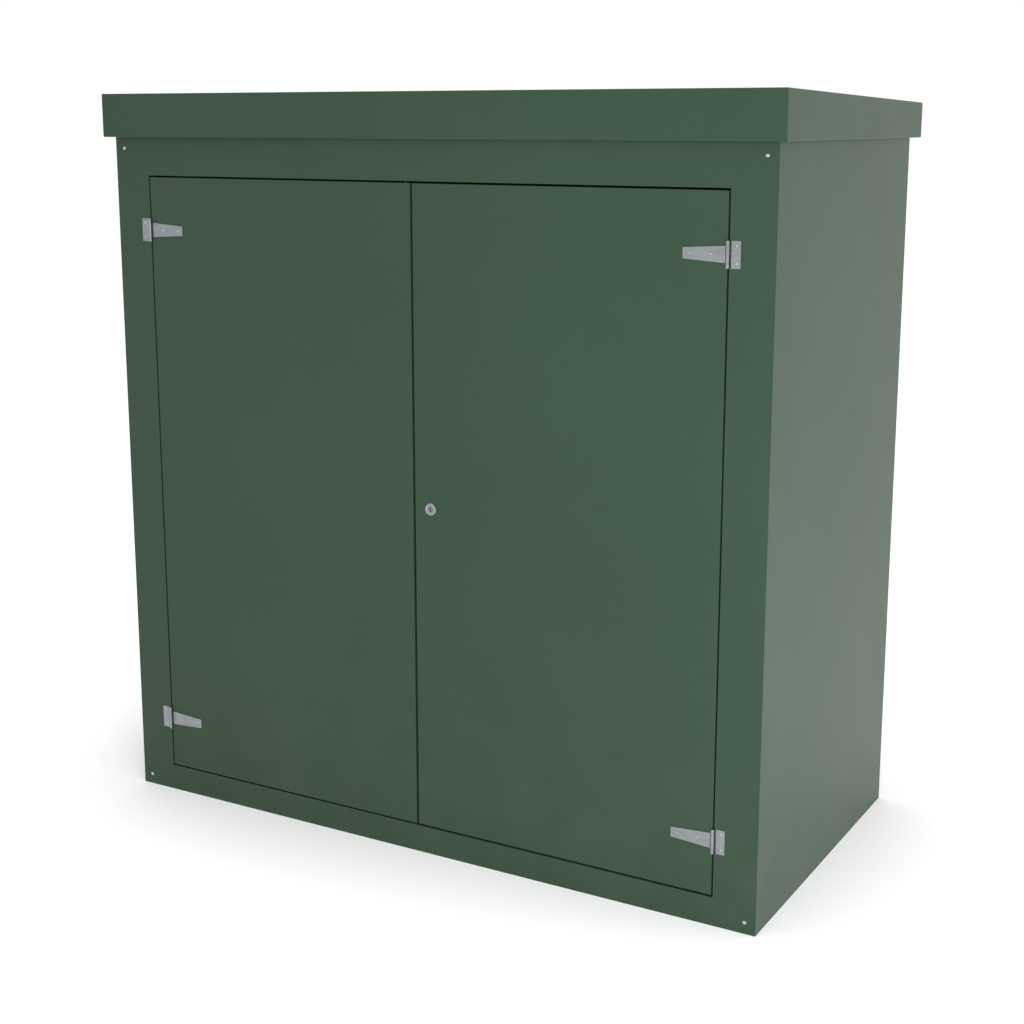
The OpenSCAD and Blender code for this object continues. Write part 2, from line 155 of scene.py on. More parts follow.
def pick_faces(piece: Piece, test: Callable[[Vector, Vector], bool]) -> None:
    """Select faces of the piece being edited.

    Args:
        piece: The piece, in edit mode.
        test: Takes a face's centre and normal, and says whether to select it.
    """
    mesh = bmesh.from_edit_mesh(piece.data)
    for face in mesh.faces:
        face.select_set(test(face.calc_center_median(), face.normal))
    bmesh.update_edit_mesh(piece.data)


def pick_corners(piece: Piece, test: Callable[[Vector], bool]) -> None:
    """Select corners of the piece being edited.

    Args:
        piece: The piece, in edit mode.
        test: Takes a corner's place, and says whether to select it.
    """
    mesh = bmesh.from_edit_mesh(piece.data)
    for vertex in mesh.verts:
        vertex.select_set(test(vertex.co))
    mesh.select_flush_mode()
    bmesh.update_edit_mesh(piece.data)


def settled(name: str) -> Piece:
    """Name the active piece, and put its place, turn and size into its mesh.

    Args:
        name: The piece's name.

    Returns:
        The piece, at the origin and unscaled.
    """
    piece = bpy.context.object
    piece.name = name
    piece.data.name = name
    bpy.ops.object.transform_apply(location=True, rotation=True, scale=True)
    return piece


def block(name: str, low: Point, high: Point) -> Piece:
    """A box between two opposite corners.

    Args:
        name: The piece's name.
        low: The lowest corner.
        high: The highest corner.

    Returns:
        The box.
    """
    select_only()
    middle = [(a + b) / 2 for a, b in zip(low, high)]
    size = [b - a for a, b in zip(low, high)]
    bpy.ops.mesh.primitive_cube_add(size=1, location=middle, scale=size)
    return settled(name)


def turned(name: str, foot: Point, axis: Point, profile: Sequence[tuple[float, float]],
           sides: int = LATHE_SIDES) -> Piece:
    """A round shape drawn out of one disc, ring by ring, as on a lathe.

    Args:
        name: The piece's name.
        foot: The point on its axis from which the profile is measured.
        axis: The direction of its axis.
        profile: Radius and distance along the axis of each ring, in order.
        sides: How many flats stand for the round.

    Returns:
        The closed shape.
    """
    select_only()
    along = Vector(axis).normalized()
    (radius, reach), *rings = profile
    bpy.ops.mesh.primitive_circle_add(
        vertices=sides, radius=radius, fill_type="NGON", location=Vector(foot) + along * reach,
        rotation=along.to_track_quat("Z", "Y").to_euler())
    piece = settled(name)
    with editing(piece):
        bpy.ops.mesh.select_all(action="SELECT")
        for next_radius, next_reach in rings:
            bpy.ops.mesh.extrude_region_move(TRANSFORM_OT_translate={"value": along * (next_reach - reach)})
            bpy.ops.transform.resize(value=(next_radius / radius,) * 3,
                                     center_override=Vector(foot) + along * next_reach)
            radius, reach = next_radius, next_reach
        bpy.ops.mesh.select_all(action="SELECT")
        bpy.ops.mesh.normals_make_consistent(inside=False)
    return piece


def rod(name: str, start: Point, end: Point, radius: float, sides: int = ROD_SIDES) -> Piece:
    """A round bar from one point to another.

    Args:
        name: The piece's name.
        start: Middle of the first end.
        end: Middle of the second end.
        radius: Its radius.
        sides: How many flats stand for the round.

    Returns:
        The bar.
    """
    run = Vector(end) - Vector(start)
    return turned(name, start, run, ((radius, 0.0), (radius, run.length)), sides)


def use_modifier(piece: Piece, kind: str, **settings: object) -> Piece:
    """Add a modifier and apply it.

    Args:
        piece: The piece to work on.
        kind: The modifier's type name.
        **settings: The modifier's own settings.

    Returns:
        The same piece.
    """
    select_only(piece)
    modifier = piece.modifiers.new(kind.lower(), kind)
    for key, value in settings.items():
        setattr(modifier, key, value)
    bpy.ops.object.modifier_apply(modifier=modifier.name)
    return piece


def worked(piece: Piece, joining: Joining, *tools: Piece) -> Piece:
    """Cut a piece by others or weld them to it, and remove them.

    Args:
        piece: The piece that is kept.
        joining: Whether the others are cut out or welded on.
        *tools: The pieces that shape it.

    Returns:
        The shaped piece.
    """
    for tool in tools:
        use_modifier(piece, "BOOLEAN", operation=joining.value, object=tool, solver="EXACT")
        bpy.data.objects.remove(tool)
    return piece


def joined(name: str, pieces: Sequence[Piece]) -> Piece:
    """Put several closed shapes into one mesh.

    Args:
        name: The new piece's name.
        pieces: The shapes.

    Returns:
        The one piece.
    """
    select_only(*pieces)
    if len(pieces) > 1:
        bpy.ops.object.join()
    return settled(name)


def copied(piece: Piece, offset: Point) -> Piece:
    """A copy with its own mesh, moved by an offset.

    Args:
        piece: The piece to copy.
        offset: How far the copy is moved.

    Returns:
        The copy.
    """
    select_only(piece)
    bpy.ops.object.duplicate()
    bpy.context.object.location = offset
    return settled(piece.name)


def slice_off(piece: Piece, point: Point, normal: Point) -> Piece:
    """Cut away what lies beyond a plane, and close the cut.

    Args:
        piece: The piece to cut.
        point: A point on the plane.
        normal: The plane's normal, towards what is cut away.

    Returns:
        The same piece.
    """
    with editing(piece):
        bpy.ops.mesh.select_all(action="SELECT")
        bpy.ops.mesh.bisect(plane_co=point, plane_no=normal, use_fill=True, clear_outer=True)
    return piece


def round_edges(piece: Piece, radius: float, steps: int = 3) -> Piece:
    """Round every sharp edge and keep the flats flat.

    Args:
        piece: The piece to finish.
        radius: Radius of the rounding.
        steps: How many flats stand for the round.

    Returns:
        The finished piece.
    """
    use_modifier(piece, "BEVEL", width=radius, segments=steps, limit_method="ANGLE",
                 angle_limit=SHARP, miter_outer="MITER_SHARP", use_clamp_overlap=True)
    select_only(piece)
    bpy.ops.object.shade_smooth_by_angle(angle=SHARP)
    return use_modifier(piece, "WEIGHTED_NORMAL", keep_sharp=True, weight=100)


def softened(node: str, name: str, radius: float, steps: int = 2) -> Piece:
    """A copy of a frame node with merged faces and rounded edges.

    Args:
        node: The frame node.
        name: The new piece's name.
        radius: Radius of the rounding.
        steps: How many flats stand for the round.

    Returns:
        The piece.
    """
    select_only(bpy.data.objects[node])
    bpy.ops.object.duplicate()
    piece = settled(name)
    piece.parent = None
    bpy.ops.mesh.customdata_custom_splitnormals_clear()
    with editing(piece, Pick.CORNERS):
        bpy.ops.mesh.select_all(action="SELECT")
        bpy.ops.mesh.remove_doubles(threshold=0.001 * MM)
        bpy.ops.mesh.dissolve_limited(angle_limit=math.radians(0.3))
    return round_edges(piece, radius, steps)


# ---------------------------------------------------------------- finishes


class Recipe:
    """A material under construction, with short calls for its nodes."""

    def __init__(self, name: str) -> None:
        """Start a material that holds one Principled shader.

        Args:
            name: The material's name.
        """
        self.material = bpy.data.materials.new(name)
        self.material.use_nodes = True
        self.tree = self.material.node_tree
        self.shader = self.tree.nodes["Principled BSDF"]
        self.place = self.node("ShaderNodeTexCoord").outputs["Object"]

    def node(self, kind: str, inputs: dict[str | int, object] | None = None, **settings: object) -> bpy.types.Node:
        """Add a node.

        Args:
            kind: The node's type name.
            inputs: Values or output sockets for its inputs, by name or number.
            **settings: The node's own properties.

        Returns:
            The new node.
        """
        made = self.tree.nodes.new(kind)
        for key, value in settings.items():
            setattr(made, key, value)
        for key, value in (inputs or {}).items():
            if isinstance(value, bpy.types.NodeSocket):
                self.tree.links.new(value, made.inputs[key])
            else:
                made.inputs[key].default_value = value
        return made

    def set(self, **values: object) -> None:
        """Set the shader's own sockets.

        Args:
            **values: Values or output sockets by the socket's name, with an underscore for each space.
        """
        for key, value in values.items():
            socket = self.shader.inputs[key.replace("_", " ")]
            if isinstance(value, bpy.types.NodeSocket):
                self.tree.links.new(value, socket)
            else:
                socket.default_value = value

    def stretched(self, scale: Point, turn: Point = (0, 0, 0)) -> bpy.types.NodeSocket:
        """The place on the object, turned and then scaled along each axis."""
        return self.node("ShaderNodeMapping", {"Vector": self.place, "Scale": scale, "Rotation": turn},
                         vector_type="POINT").outputs["Vector"]

    def noise(self, scale: float, detail: float = 3, place: bpy.types.NodeSocket | None = None) -> bpy.types.NodeSocket:
        """Cloudy noise from 0 to 1, with a feature about every 1/scale metres."""
        return self.node("ShaderNodeTexNoise", {"Vector": place or self.place, "Scale": scale, "Detail": detail},
                         noise_dimensions="3D").outputs["Fac"]

    def spread(self, value: bpy.types.NodeSocket, source: Point, target: Point) -> bpy.types.NodeSocket:
        """A value taken from one range to another, clamped to it.

        Args:
            value: The value.
            source: The range that it comes in.
            target: The range that it goes out in.

        Returns:
            The new value.
        """
        return self.node("ShaderNodeMapRange", {
            "Value": value, "From Min": source[0], "From Max": source[1],
            "To Min": target[0], "To Max": target[1]}).outputs["Result"]

    def math(self, operation: str, a: object, b: object = 0.0) -> bpy.types.NodeSocket:
        """One arithmetic step on two numbers or sockets."""
        return self.node("ShaderNodeMath", {0: a, 1: b}, operation=operation).outputs["Value"]

    def blend(self, share: object, first: object, second: object) -> bpy.types.NodeSocket:
        """A colour between two.

        Args:
            share: Share of the second colour, from 0 to 1.
            first: The first colour.
            second: The second colour.

        Returns:
            The mixed colour.
        """
        made = self.node("ShaderNodeMix", data_type="RGBA")
        for key, value in ((0, share), (6, first), (7, second)):
            if isinstance(value, bpy.types.NodeSocket):
                self.tree.links.new(value, made.inputs[key])
            else:
                made.inputs[key].default_value = value
        return made.outputs[2]

    def height(self, value: bpy.types.NodeSocket) -> bpy.types.NodeSocket:
        """The place's own height above the ground."""
        return self.node("ShaderNodeSeparateXYZ", {0: value}).outputs["Z"]

    def bumps(self, *layers: tuple[bpy.types.NodeSocket, float, float]) -> bpy.types.NodeSocket:
        """Stack bump layers.

        Args:
            *layers: Height from 0 to 1, strength, and depth in metres of each layer.

        Returns:
            The bent normal.
        """
        normal = None
        for height, strength, depth in layers:
            inputs = {"Height": height, "Strength": strength, "Distance": depth}
            if normal is not None:
                inputs["Normal"] = normal
            normal = self.node("ShaderNodeBump", inputs).outputs["Normal"]
        return normal


def rgba(colour: Point) -> tuple[float, float, float, float]:
    """A linear colour with full alpha."""
    return (*colour, 1.0)


@dataclass(frozen=True)
class GelCoat:
    """Smooth pigmented gel coat as it leaves a polished mould."""

    name: str = "gel_coat"
    colour: Point = (0.0210, 0.0437, 0.0254)
    pale: Point = (0.0248, 0.0503, 0.0297)
    # Pale colour blended in towards the bottom: dust, and painted light from the floor.
    dust: Point = (0.09, 0.10, 0.085)
    roughness: float = 0.36
    unevenness: float = 0.012
    specular: float = 0.18

    def material(self) -> bpy.types.Material:
        """The finish as a material.

        Returns:
            The material.
        """
        mix = Recipe(self.name)
        clouds = mix.spread(mix.noise(1.7, 4), (0.3, 0.7), (0.0, 1.0))
        mottle = mix.spread(mix.noise(55, 2), (0.3, 0.7), (0.0, 1.0))
        tint = mix.blend(mix.math("MULTIPLY", clouds, 0.7), rgba(self.colour), rgba(self.pale))
        fine = mix.blend(mix.math("MULTIPLY", mottle, 0.25), tint, rgba(self.pale))
        # Patchily paler towards the bottom: settled dust, and painted light thrown up from the floor.
        low = mix.spread(mix.height(mix.place), (0.0, 0.45), (0.16, 0.0))
        dust_and_light_share = mix.math("MULTIPLY", low, mix.spread(mix.noise(9, 5), (0.35, 0.75), (0.0, 1.0)))
        mix.set(Base_Color=mix.blend(dust_and_light_share, fine, rgba(self.dust)))
        mix.set(Roughness=mix.spread(mix.noise(6, 4), (0.3, 0.7),
                                     (self.roughness - self.unevenness, self.roughness + self.unevenness)))
        mix.set(Specular_IOR_Level=self.specular)
        mix.set(Normal=mix.bumps((mix.noise(3.2, 2), 0.06, 0.0012), (mix.noise(230, 2), 0.12, 0.00012)))
        return mix.material


@dataclass(frozen=True)
class FlowCoat:
    """Brushed-on inner coat over glass strands, whose pattern shows through."""

    name: str = "flow_coat"
    colour: Point = (0.085, 0.125, 0.095)
    pale: Point = (0.13, 0.17, 0.135)
    roughness: float = 0.5

    def material(self) -> bpy.types.Material:
        """The finish as a material.

        Returns:
            The material.
        """
        mix = Recipe(self.name)
        strands = None
        for turn in (0.3, 1.25, 2.2):
            lie = mix.stretched((14, 190, 14), (turn * 0.7, turn * 1.3, turn))
            run = mix.spread(mix.noise(1.0, 2, lie), (0.52, 0.66), (0.0, 1.0))
            strands = run if strands is None else mix.math("MAXIMUM", strands, run)
        clouds = mix.spread(mix.noise(2.3, 5), (0.3, 0.7), (0.0, 1.0))
        ground = mix.blend(clouds, rgba(self.colour), rgba(self.pale))
        mix.set(Base_Color=mix.blend(mix.math("MULTIPLY", strands, 0.35), ground, rgba(self.pale)))
        mix.set(Roughness=mix.spread(strands, (0.0, 1.0), (self.roughness, self.roughness - 0.12)))
        mix.set(Specular_IOR_Level=0.4)
        mix.set(Normal=mix.bumps((mix.noise(14, 3), 0.4, 0.0015), (strands, 0.5, 0.0003)))
        return mix.material


@dataclass(frozen=True)
class SatinMetal:
    """Satin metal with a fine grain along one axis."""

    name: str
    colour: Point
    dull: Point
    roughness: float = 0.38
    metallic: float = 1.0
    grain: Point = (30, 900, 900)
    depth: float = 0.00004

    def material(self) -> bpy.types.Material:
        """The finish as a material.

        Returns:
            The material.
        """
        mix = Recipe(self.name)
        grain = mix.noise(1.0, 3, mix.stretched(self.grain))
        blotch = mix.spread(mix.noise(38, 4), (0.3, 0.72), (0.0, 1.0))
        mix.set(Base_Color=mix.blend(blotch, rgba(self.colour), rgba(self.dull)))
        mix.set(Roughness=mix.spread(mix.math("ADD", grain, blotch), (0.6, 1.5),
                                     (self.roughness - 0.05, self.roughness + 0.12)))
        mix.set(Metallic=self.metallic)
        mix.set(Normal=mix.bumps((grain, 0.3, self.depth)))
        return mix.material


@dataclass(frozen=True)
class SealRubber:
    """Matt black extruded rubber with a dusty bloom."""

    name: str = "seal_rubber"
    colour: Point = (0.012, 0.012, 0.013)
    bloom: Point = (0.04, 0.04, 0.04)

    def material(self) -> bpy.types.Material:
        """The finish as a material.

        Returns:
            The material.
        """
        mix = Recipe(self.name)
        dusty = mix.spread(mix.noise(30, 5), (0.4, 0.75), (0.0, 0.6))
        mix.set(Base_Color=mix.blend(dusty, rgba(self.colour), rgba(self.bloom)))
        mix.set(Roughness=mix.spread(mix.noise(80, 3), (0.3, 0.7), (0.62, 0.8)))
        mix.set(Specular_IOR_Level=0.4)
        mix.set(Normal=mix.bumps((mix.noise(600, 2), 0.3, 0.00005)))
        return mix.material


@dataclass(frozen=True)
class StudioFloor:
    """Plain pale floor that glows a little, so that its shadow stays soft; the glow is dimmer near the object's
    footprint, a painted shadow round the base.
    """

    name: str = "studio_floor"
    albedo: float = 0.76
    near_glow: float = 0.135
    far_glow: float = 0.28
    half_size: Point = (1.0, 0.5, 0.0)
    glow_reach: float = 0.5

    def material(self) -> bpy.types.Material:
        """The finish as a material.

        Returns:
            The material.
        """
        mix = Recipe(self.name)
        beyond = mix.node("ShaderNodeVectorMath", {0: mix.node("ShaderNodeVectorMath", {0: mix.place},
                          operation="ABSOLUTE").outputs[0], 1: self.half_size}, operation="SUBTRACT").outputs[0]
        outside = mix.node("ShaderNodeVectorMath", {0: beyond, 1: (0, 0, 0)}, operation="MAXIMUM").outputs[0]
        distance = mix.node("ShaderNodeVectorMath", {0: outside}, operation="LENGTH").outputs["Value"]
        mix.set(Base_Color=rgba((self.albedo,) * 3), Roughness=0.9, Specular_IOR_Level=0.1)
        mix.set(Emission_Color=rgba((1.0, 1.0, 1.0)))
        # Glow rises from near_glow at the footprint to far_glow at glow_reach: painted shadow round the base.
        mix.set(Emission_Strength=mix.spread(distance, (0.0, self.glow_reach), (self.near_glow, self.far_glow)))
        return mix.material


class Finishes:
    """Every finish of the enclosure, made once."""

    def __init__(self) -> None:
        """Make the materials."""
        self.gel_coat = GelCoat().material()
        self.flow_coat = FlowCoat().material()
        self.seal = SealRubber().material()
        self.hinge = SatinMetal("hinge_steel", (0.288, 0.304, 0.320), (0.262, 0.276, 0.291), 0.44).material()
        self.zinc = SatinMetal("zinc_plate", (0.53, 0.555, 0.57), (0.44, 0.46, 0.47), 0.42,
                               grain=(300, 300, 300)).material()
        self.lock = SatinMetal("lock_metal", (0.335, 0.34, 0.35), (0.29, 0.295, 0.305), 0.42,
                               grain=(200, 200, 200)).material()
        # Darker copy of the lock metal for the plug: painted shade of the recess inside the rose.
        self.plug = SatinMetal("plug_metal", (0.215, 0.22, 0.24), (0.185, 0.19, 0.21), 0.42,
                               grain=(200, 200, 200)).material()
        self.bolt_steel = SatinMetal("bolt_steel", (0.105, 0.115, 0.11), (0.08, 0.09, 0.085), 0.5,
                                     grain=(300, 300, 300)).material()
        # Near-black painted shade for the web in each hinge's crook between knuckle and leaf.
        self.grease = SealRubber("hinge_grease", (0.010, 0.016, 0.012), (0.022, 0.028, 0.023)).material()
        self.alloy = SatinMetal("mill_alloy", (0.62, 0.63, 0.64), (0.50, 0.51, 0.53), 0.40,
                                grain=(500, 20, 20)).material()


def dress(piece: Piece, *materials: bpy.types.Material) -> None:
    """Give a piece its materials, all of it in the first one.

    Args:
        piece: The piece.
        *materials: The materials.
    """
    piece.data.materials.clear()
    for material in materials:
        piece.data.materials.append(material)
    for polygon in piece.data.polygons:
        polygon.material_index = 0


def dress_part(piece: Piece, index: int, test: Callable[[Vector, Vector], bool]) -> None:
    """Give some of a piece's faces another of its materials.

    Args:
        piece: The piece.
        index: The material's number on the piece.
        test: Whether a face with this centre and normal gets it.
    """
    for polygon in piece.data.polygons:
        if test(polygon.center, polygon.normal):
            polygon.material_index = index


def hand_over(piece: Piece, body: str, slot: Slot, *nodes: str) -> None:
    """Let a finished piece ride on its body and stand for its CAD nodes.

    Args:
        piece: The finished piece.
        body: The body that carries it.
        slot: Its material slot; not used.
        *nodes: The nodes that it stands for.
    """
    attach(piece, body)
    if nodes:
        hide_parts(*nodes)
    log.info("%s rides on %s, %d faces", piece.name, body, len(piece.data.polygons))


# ---------------------------------------------------------------- the enclosure's sub-assemblies


@dataclass
class Layout:
    """The enclosure's main planes, read from the frame."""

    wall: float = 20 * MM
    roof_thick: float = 20 * MM
    over_roof: float = 3.0
    roof_fall: float = 25 * MM
    rim: float = 20 * MM
    stop_reach: float = 20 * MM

    def __post_init__(self) -> None:
        """Read the planes from the frame nodes' boxes."""
        self.half_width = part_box("back_wall")[1].x
        self.back_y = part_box("back_wall")[1].y
        self.front_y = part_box("front_sill")[0].y
        self.open_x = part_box("front_sill")[1].x
        self.open_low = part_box("front_sill")[1].z
        self.open_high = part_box("front_head")[0].z
        self.stop_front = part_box("door_stop")[0].y
        self.stop_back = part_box("door_stop")[1].y
        self.door_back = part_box("left_door")[1].y
        self.door_middle = (self.front_y + self.door_back) / 2
        self.bolt_x = (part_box("top_flush_bolt")[0].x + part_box("top_flush_bolt")[1].x) / 2
        self.roof_low, self.roof_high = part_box("roof_cap")
        self.slope = self.roof_fall / (self.roof_high.y - self.roof_low.y)

    def under_roof(self, y: float) -> float:
        """Height of the roof panel's underside."""
        return self.roof_high.z - self.roof_thick - self.slope * (y - self.roof_low.y)


@dataclass
class Shell:
    """Walls and front frame as one seamless moulding, with the rim and stop round the doorway."""

    layout: Layout
    finishes: Finishes
    edge_radius: float = 2.5 * MM
    keeper_radius: float = 5 * MM
    keeper_depth: float = 13 * MM

    def build(self) -> None:
        """Make the shell and hand it over."""
        at = self.layout
        shell = block("body_shell", (-at.half_width, at.front_y, 0), (at.half_width, at.back_y, at.roof_high.z))
        slice_off(shell, (0, at.roof_low.y, at.under_roof(at.roof_low.y)), (0, at.slope, 1))
        worked(shell, Joining.CUT, self._hollow(), self._doorway())
        worked(shell, Joining.WELD, self._ring("rim", -at.rim, 0, at.front_y + at.wall),
               self._ring("stop", -at.rim / 2, at.stop_reach, at.stop_front))
        worked(shell, Joining.CUT, *self._keepers())
        round_edges(shell, self.edge_radius)
        dress(shell, self.finishes.gel_coat, self.finishes.flow_coat)
        dress_part(shell, 1, self._is_inner)
        hand_over(shell, "carcass", Slot.GELCOAT, "left_wall", "right_wall", "back_wall", "front_left_jamb",
                  "front_right_jamb", "front_head", "front_sill", "door_rim", "door_stop")

    def _hollow(self) -> Piece:
        """The room inside the walls.

        Returns:
            The room as a solid.
        """
        at = self.layout
        return block("hollow", (at.wall - at.half_width, at.front_y + at.wall, -OVERRUN),
                     (at.half_width - at.wall, at.back_y - at.wall, at.over_roof))

    def _doorway(self) -> Piece:
        """What is cut out of the front for the doors.

        Returns:
            The opening as a solid.
        """
        at = self.layout
        return block("doorway", (-at.open_x, at.front_y - OVERRUN, at.open_low),
                     (at.open_x, at.front_y + at.wall + at.rim / 2, at.open_high))

    def _ring(self, name: str, out: float, reach: float, front: float) -> Piece:
        """A border round the doorway, as deep as the stop's back.

        Args:
            name: Its name.
            out: Inset of its outer side from the doorway's edge; negative lies outside the doorway.
            reach: Inset of its inner side.
            front: Where it begins along Y.

        Returns:
            The border.
        """
        at = self.layout
        back = at.stop_back
        ring = block(name, (out - at.open_x, front, at.open_low + out), (at.open_x - out, back, at.open_high - out))
        middle = block("middle", (reach - at.open_x, front - OVERRUN, at.open_low + reach),
                       (at.open_x - reach, back + OVERRUN, at.open_high - reach))
        return worked(ring, Joining.CUT, middle)

    def _keepers(self) -> list[Piece]:
        """The two blind holes that the flush bolts slide into.

        Returns:
            The holes as solids.
        """
        at = self.layout
        holes = []
        for edge, way in ((at.open_high, End.TOP.value), (at.open_low, End.BOTTOM.value)):
            holes.append(rod("keeper", (at.bolt_x, at.door_middle, edge - way * MM),
                             (at.bolt_x, at.door_middle, edge + way * self.keeper_depth),
                             self.keeper_radius, KEEPER_SIDES))
        return holes

    def _is_inner(self, centre: Vector, normal: Vector) -> bool:
        """Whether a face belongs to the room inside, and not to the doorway.

        Args:
            centre: The face's centre.
            normal: The face's normal.

        Returns:
            True for a face of the room.
        """
        at = self.layout
        slack = MM
        inside = abs(centre.x) < at.half_width - at.wall + slack and centre.y < at.back_y - at.wall + slack
        behind = centre.y > at.front_y + at.wall - slack
        beside = abs(centre.x) > at.open_x + slack or not at.open_low - slack < centre.z < at.open_high + slack
        return inside and behind and (beside or centre.y > at.stop_back - slack)


@dataclass
class RoofCap:
    """One-piece roof with a deep skirt and a fall to the back."""

    layout: Layout
    finishes: Finishes
    skirt: float = 6 * MM
    edge_radius: float = 3 * MM

    def build(self) -> None:
        """Make the roof and hand it over."""
        at = self.layout
        low, high = at.roof_low, at.roof_high
        t = self.skirt
        roof = self._falling(block("roof_moulding", low, high))
        hollow = block("roof_hollow", (low.x + t, low.y, low.z - t), (high.x - t, high.y, high.z - at.roof_thick))
        self._falling(hollow)
        slice_off(hollow, (0, low.y + t, 0), (0, -1, 0))
        slice_off(hollow, (0, high.y - t, 0), (0, 1, 0))
        worked(roof, Joining.CUT, hollow)
        round_edges(roof, self.edge_radius)
        dress(roof, self.finishes.gel_coat, self.finishes.flow_coat)
        dress_part(roof, 1, lambda c, n: low.x + 2 * t > c.x > low.x + t / 2 and n.x > 0.9
                   or high.x - 2 * t < c.x < high.x - t / 2 and n.x < -0.9
                   or n.z < -0.9 and c.z > low.z + at.roof_thick)
        hand_over(roof, "carcass", Slot.GELCOAT, "roof_cap")

    def _falling(self, piece: Piece) -> Piece:
        """Lower the back of a piece's top by the roof's fall.

        Args:
            piece: The piece.

        Returns:
            The same piece.
        """
        top = self.layout.roof_low.z + self.layout.roof_thick
        with editing(piece, Pick.CORNERS):
            pick_corners(piece, lambda p: p.y > 0 and p.z > top)
            bpy.ops.transform.translate(value=(0, 0, -self.layout.roof_fall))
        return piece


@dataclass
class Door:
    """One moulded door leaf: a smooth face, solid edges and an inner skin with a sunk field."""

    side: Side
    layout: Layout
    finishes: Finishes
    edge_radius: float = 2.5 * MM
    border: float = 95 * MM
    sunk: float = 5 * MM
    lock_hole_radius: float = 12.3 * MM
    rod_bore_radius: float = 4.5 * MM
    slot_width: float = 7 * MM
    slot_height: float = 21 * MM
    slot_plate_height: float = 37 * MM

    def build(self) -> None:
        """Make the leaf and hand it over."""
        self.low, self.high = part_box(f"{self.side.word}_door")
        leaf = block(f"{self.side.word}_door_leaf", self.low, self.high)
        with editing(leaf):
            pick_faces(leaf, lambda c, n: n.y > 0.9)
            bpy.ops.mesh.inset(thickness=self.border)
            bpy.ops.mesh.inset(thickness=self.sunk, depth=-self.sunk)
        worked(leaf, Joining.CUT, *(self._bolt_pockets() if self.side is Side.LEFT else self._lock_hole()))
        round_edges(leaf, self.edge_radius)
        dress(leaf, self.finishes.gel_coat, self.finishes.flow_coat)
        dress_part(leaf, 1, lambda c, n: n.y > 0.3 and c.y > self.high.y - 2 * self.sunk)
        hand_over(leaf, f"{self.side.word}_door", Slot.GELCOAT, f"{self.side.word}_door")

    def _lock_hole(self) -> list[Piece]:
        """The through hole for the lock's barrel.

        Returns:
            The hole as a solid, alone in its list.
        """
        x, y, z = Lock.axis_point()
        return [rod("lock_hole", (x, self.low.y - SMALL_OVERRUN, z), (x, self.high.y + SMALL_OVERRUN, z),
                    self.lock_hole_radius, LATHE_SIDES)]

    def _bolt_pockets(self) -> list[Piece]:
        """The bores in the leaf's ends, and the slots that the bolts' knobs slide along.

        Returns:
            The bores and slots as solids.
        """
        at = self.layout
        plates_low, plates_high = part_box("slot_plates")
        tools = []
        for end, slot_z in ((End.TOP, plates_high.z - self.slot_plate_height / 2),
                            (End.BOTTOM, plates_low.z + self.slot_plate_height / 2)):
            low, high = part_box(f"{end.name.lower()}_flush_bolt")
            tools.append(rod("bore", (at.bolt_x, at.door_middle, low.z - MM), (at.bolt_x, at.door_middle, high.z + MM),
                             self.rod_bore_radius))
            tools.append(block("slot", (at.bolt_x - self.slot_width / 2, at.door_middle, slot_z - self.slot_height / 2),
                               (at.bolt_x + self.slot_width / 2, at.door_back + MM, slot_z + self.slot_height / 2)))
        return tools


